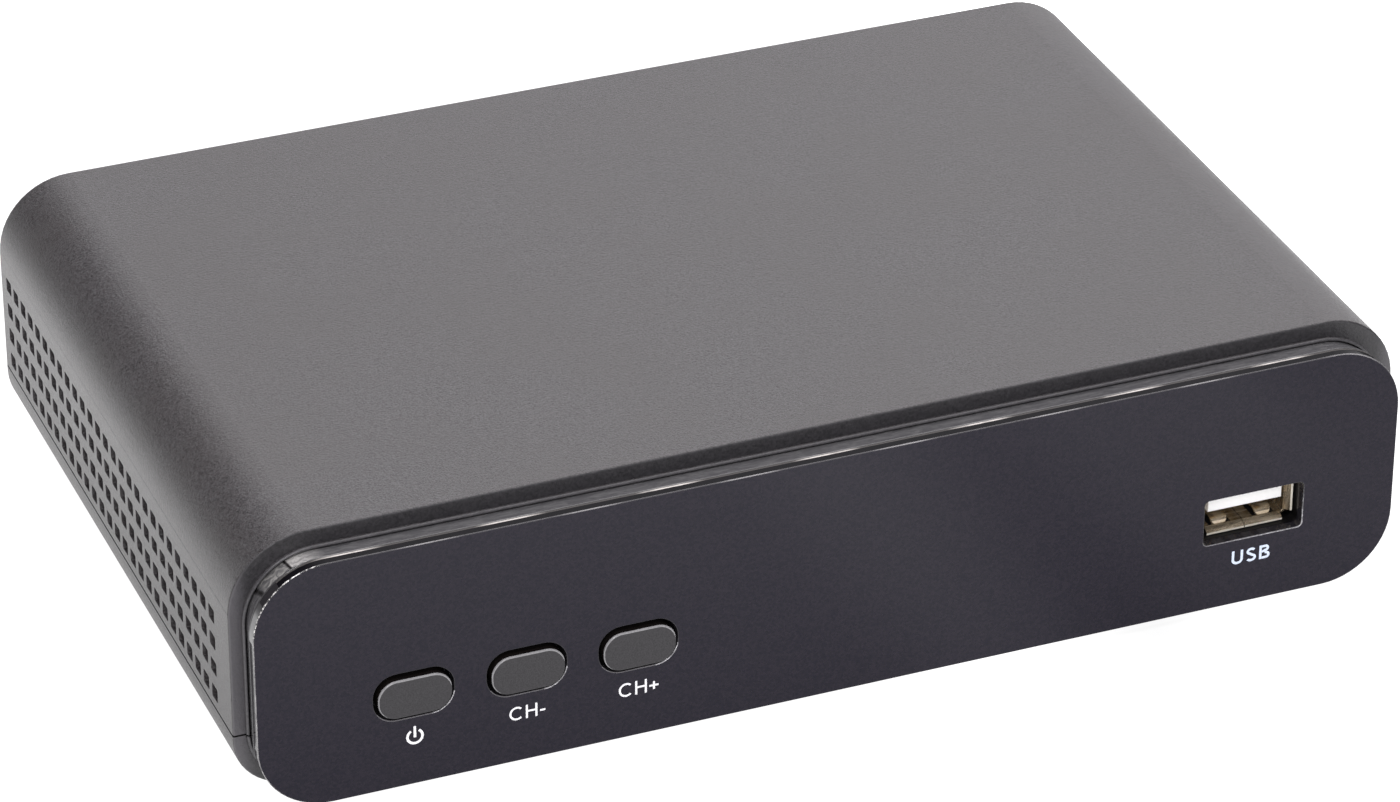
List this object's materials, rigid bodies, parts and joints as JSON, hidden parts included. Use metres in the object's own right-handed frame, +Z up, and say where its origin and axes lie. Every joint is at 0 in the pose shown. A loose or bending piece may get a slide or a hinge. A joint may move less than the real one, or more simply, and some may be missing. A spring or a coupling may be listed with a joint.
{
  "type": "satellite tv receiver",
  "caption": "Compact desktop satellite television receiver with a clear-edged dark front window, push buttons, a USB socket and slotted side vents.",
  "frame": {"origin": "centre of the bottom of the bounding box, on the surface the feet stand on", "axes": "+X to the right seen from the front, +Y from the front window to the rear connectors, +Z up"},
  "size_m": [0.1692, 0.1224, 0.0404],
  "materials": {
    "audio_orange_plastic": "orange",
    "bezel_plastic": "gloss charcoal",
    "board_laminate": "green solder resist",
    "button_plastic": "satin dark grey",
    "can_steel": "tinned steel",
    "capacitor_sleeve": "black sleeve",
    "chip_epoxy": "black moulded",
    "coil_ferrite": "ferrite grey",
    "contact_brass": "plated",
    "foot_rubber": "black",
    "heat_sink_aluminium": "natural",
    "housing_plastic": "matt spark-eroded charcoal grey",
    "infrared_epoxy": "black epoxy",
    "insulator_plastic": "white",
    "led_epoxy": "milky epoxy",
    "mask_film": "dark purple-grey print",
    "pad_rubber": "soft grey",
    "plunger_plastic": "black",
    "rear_panel_plastic": "matt charcoal grey",
    "screw_steel": "zinc plated",
    "socket_nickel": "nickel plated",
    "socket_steel": "nickel plated, slightly warm",
    "switch_steel": "tinned steel",
    "tongue_plastic": "off-white",
    "window_acrylic": "clear polished acrylic"
  },
  "bodies": {
    "housing": {"antenna_connector": "socket_nickel", "antenna_insulator": "insulator_plastic", "antenna_nut": "socket_nickel", "antenna_washer": "socket_nickel", "audio_socket_body": "audio_orange_plastic", "audio_socket_sleeve": "socket_nickel", "board_link_pins": "contact_brass", "board_link_strip": "chip_epoxy", "board_screws": "screw_steel", "bottom_cover": "housing_plastic", "capacitors": "capacitor_sleeve", "case_screws": "screw_steel", "flash_chip": "chip_epoxy", "front_bezel": "bezel_plastic", "front_board": "board_laminate", "front_board_screws": "screw_steel", "front_window": "window_acrylic", "heat_sink": "heat_sink_aluminium", "infrared_receiver": "infrared_epoxy", "main_board": "board_laminate", "memory_chips": "chip_epoxy", "power_coils": "coil_ferrite", "power_inlet": "chip_epoxy", "power_inlet_pin": "socket_nickel", "processor": "chip_epoxy", "rear_panel": "rear_panel_plastic", "rubber_feet": "foot_rubber", "status_led": "led_epoxy", "switch_bodies": "switch_steel", "thermal_pad": "pad_rubber", "top_cover": "housing_plastic", "tuner_can": "can_steel", "usb_contacts": "contact_brass", "usb_shell": "socket_steel", "usb_tongue": "tongue_plastic", "video_port_shell": "socket_steel", "video_port_tongue": "chip_epoxy", "video_socket": "chip_epoxy", "window_mask": "mask_film"},
    "power_key": {"power_button": "button_plastic", "power_switch_plunger": "plunger_plastic"},
    "channel_down_key": {"channel_down_button": "button_plastic", "channel_down_switch_plunger": "plunger_plastic"},
    "channel_up_key": {"channel_up_button": "button_plastic", "channel_up_switch_plunger": "plunger_plastic"}
  },
  "joints": [
    {"name": "power_press", "type": "slide", "parent": "housing", "child": "power_key", "axis": [0, 1, 0], "range_m": [0, 0.0005], "stiffness_N_per_m": 3000, "springref_m": -0.0002},
    {"name": "channel_down_press", "type": "slide", "parent": "housing", "child": "channel_down_key", "axis": [0, 1, 0], "range_m": [0, 0.0005], "stiffness_N_per_m": 3000, "springref_m": -0.0002},
    {"name": "channel_up_press", "type": "slide", "parent": "housing", "child": "channel_up_key", "axis": [0, 1, 0], "range_m": [0, 0.0005], "stiffness_N_per_m": 3000, "springref_m": -0.0002}
  ]
}
